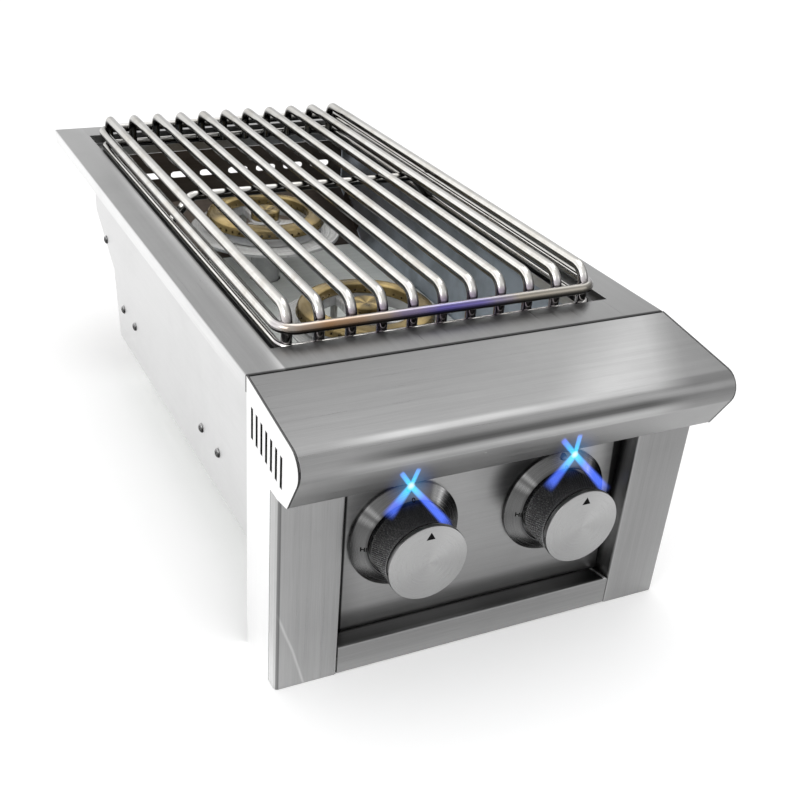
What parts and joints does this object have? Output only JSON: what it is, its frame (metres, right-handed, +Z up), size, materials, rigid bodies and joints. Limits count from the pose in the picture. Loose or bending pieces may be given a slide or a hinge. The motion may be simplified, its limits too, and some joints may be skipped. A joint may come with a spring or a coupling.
{
  "type": "built-in side burner",
  "caption": "Built-in gas side burner with twin burners in line, a bent rod grate, and a bullnose front over a recessed knob panel.",
  "frame": {"origin": "mid width, on the worktop's top face, in the plane of the cabinet front", "axes": "+X to the user's right, +Y towards the back, +Z up"},
  "size_m": [0.33, 0.6695, 0.2478],
  "materials": {
    "brushed_steel": "long brushed grain",
    "polished_steel": "polished stainless",
    "pale_steel": "fine satin",
    "box_steel": "mill finish",
    "cast_base": "machined casting",
    "brass": "machined",
    "black_knurl": "diamond knurl",
    "knob_face": "spun grain",
    "blue_lens": "clear blue lens",
    "ceramic": "glazed ceramic",
    "black_plastic": "moulded",
    "zinc": "zinc plated"
  },
  "bodies": {
    "burner_box": {"top_frame": "brushed_steel", "back_panel": "box_steel", "firebox_floor": "box_steel", "front_baffle": "box_steel", "bottom_panel": "box_steel", "bullnose_panel": "brushed_steel", "bottom_rail": "brushed_steel", "control_panel": "brushed_steel", "gas_manifold": "zinc", "gas_inlet_elbow": "brass", "spark_module": "black_plastic", "left_side_panel": "pale_steel", "left_end_cap": "pale_steel", "left_stile": "brushed_steel", "left_bezel": "polished_steel", "left_lamp": "blue_lens", "left_valve_body": "brass", "left_orifice": "brass", "left_side_screw_1": "zinc", "left_side_screw_2": "zinc", "left_side_screw_3": "zinc", "left_side_screw_4": "zinc", "left_side_screw_5": "zinc", "right_side_panel": "pale_steel", "right_end_cap": "pale_steel", "right_stile": "brushed_steel", "right_bezel": "polished_steel", "right_lamp": "blue_lens", "right_valve_body": "brass", "right_orifice": "brass", "right_side_screw_1": "zinc", "right_side_screw_2": "zinc", "right_side_screw_3": "zinc", "right_side_screw_4": "zinc", "right_side_screw_5": "zinc", "front_mixing_tube": "zinc", "front_burner_base": "cast_base", "front_drip_plate": "polished_steel", "front_electrode": "ceramic", "front_burner_bracket": "box_steel", "rear_mixing_tube": "zinc", "rear_burner_base": "cast_base", "rear_drip_plate": "polished_steel", "rear_electrode": "ceramic", "rear_burner_bracket": "box_steel"},
    "grate": {"grate": "polished_steel", "grate_foot_ring": "polished_steel", "grate_cross_rod": "polished_steel"},
    "front_ring": {"front_brass_ring": "brass"},
    "front_cap": {"front_brass_cap": "brass"},
    "rear_ring": {"rear_brass_ring": "brass"},
    "rear_cap": {"rear_brass_cap": "brass"},
    "left_push": {"left_spring_seat": "zinc"},
    "left_knob": {"left_knob_body": "black_knurl", "left_knob_cap": "knob_face", "left_valve_stem": "zinc"},
    "right_push": {"right_spring_seat": "zinc"},
    "right_knob": {"right_knob_body": "black_knurl", "right_knob_cap": "knob_face", "right_valve_stem": "zinc"}
  },
  "joints": [
    {"name": "grate_lift", "type": "slide", "parent": "burner_box", "child": "grate", "axis": [0, 0, 1], "range_m": [0, 0.08]},
    {"name": "front_ring_lift", "type": "slide", "parent": "burner_box", "child": "front_ring", "axis": [0, 0, 1], "range_m": [0, 0.04]},
    {"name": "front_cap_lift", "type": "slide", "parent": "burner_box", "child": "front_cap", "axis": [0, 0, 1], "range_m": [0, 0.04]},
    {"name": "rear_ring_lift", "type": "slide", "parent": "burner_box", "child": "rear_ring", "axis": [0, 0, 1], "range_m": [0, 0.04]},
    {"name": "rear_cap_lift", "type": "slide", "parent": "burner_box", "child": "rear_cap", "axis": [0, 0, 1], "range_m": [0, 0.04]},
    {"name": "left_knob_push", "type": "slide", "parent": "burner_box", "child": "left_push", "axis": [0, 1, 0], "range_m": [0, 0.003], "stiffness_N_per_m": 600, "springref_m": -0.008},
    {"name": "left_knob_turn", "type": "hinge", "parent": "left_push", "child": "left_knob", "pos_m": [-0.0625, -0.06, -0.1088], "axis": [0, -1, 0], "range_deg": [0, 210]},
    {"name": "right_knob_push", "type": "slide", "parent": "burner_box", "child": "right_push", "axis": [0, 1, 0], "range_m": [0, 0.003], "stiffness_N_per_m": 600, "springref_m": -0.008},
    {"name": "right_knob_turn", "type": "hinge", "parent": "right_push", "child": "right_knob", "pos_m": [0.0625, -0.06, -0.1088], "axis": [0, -1, 0], "range_deg": [0, 210]}
  ]
}
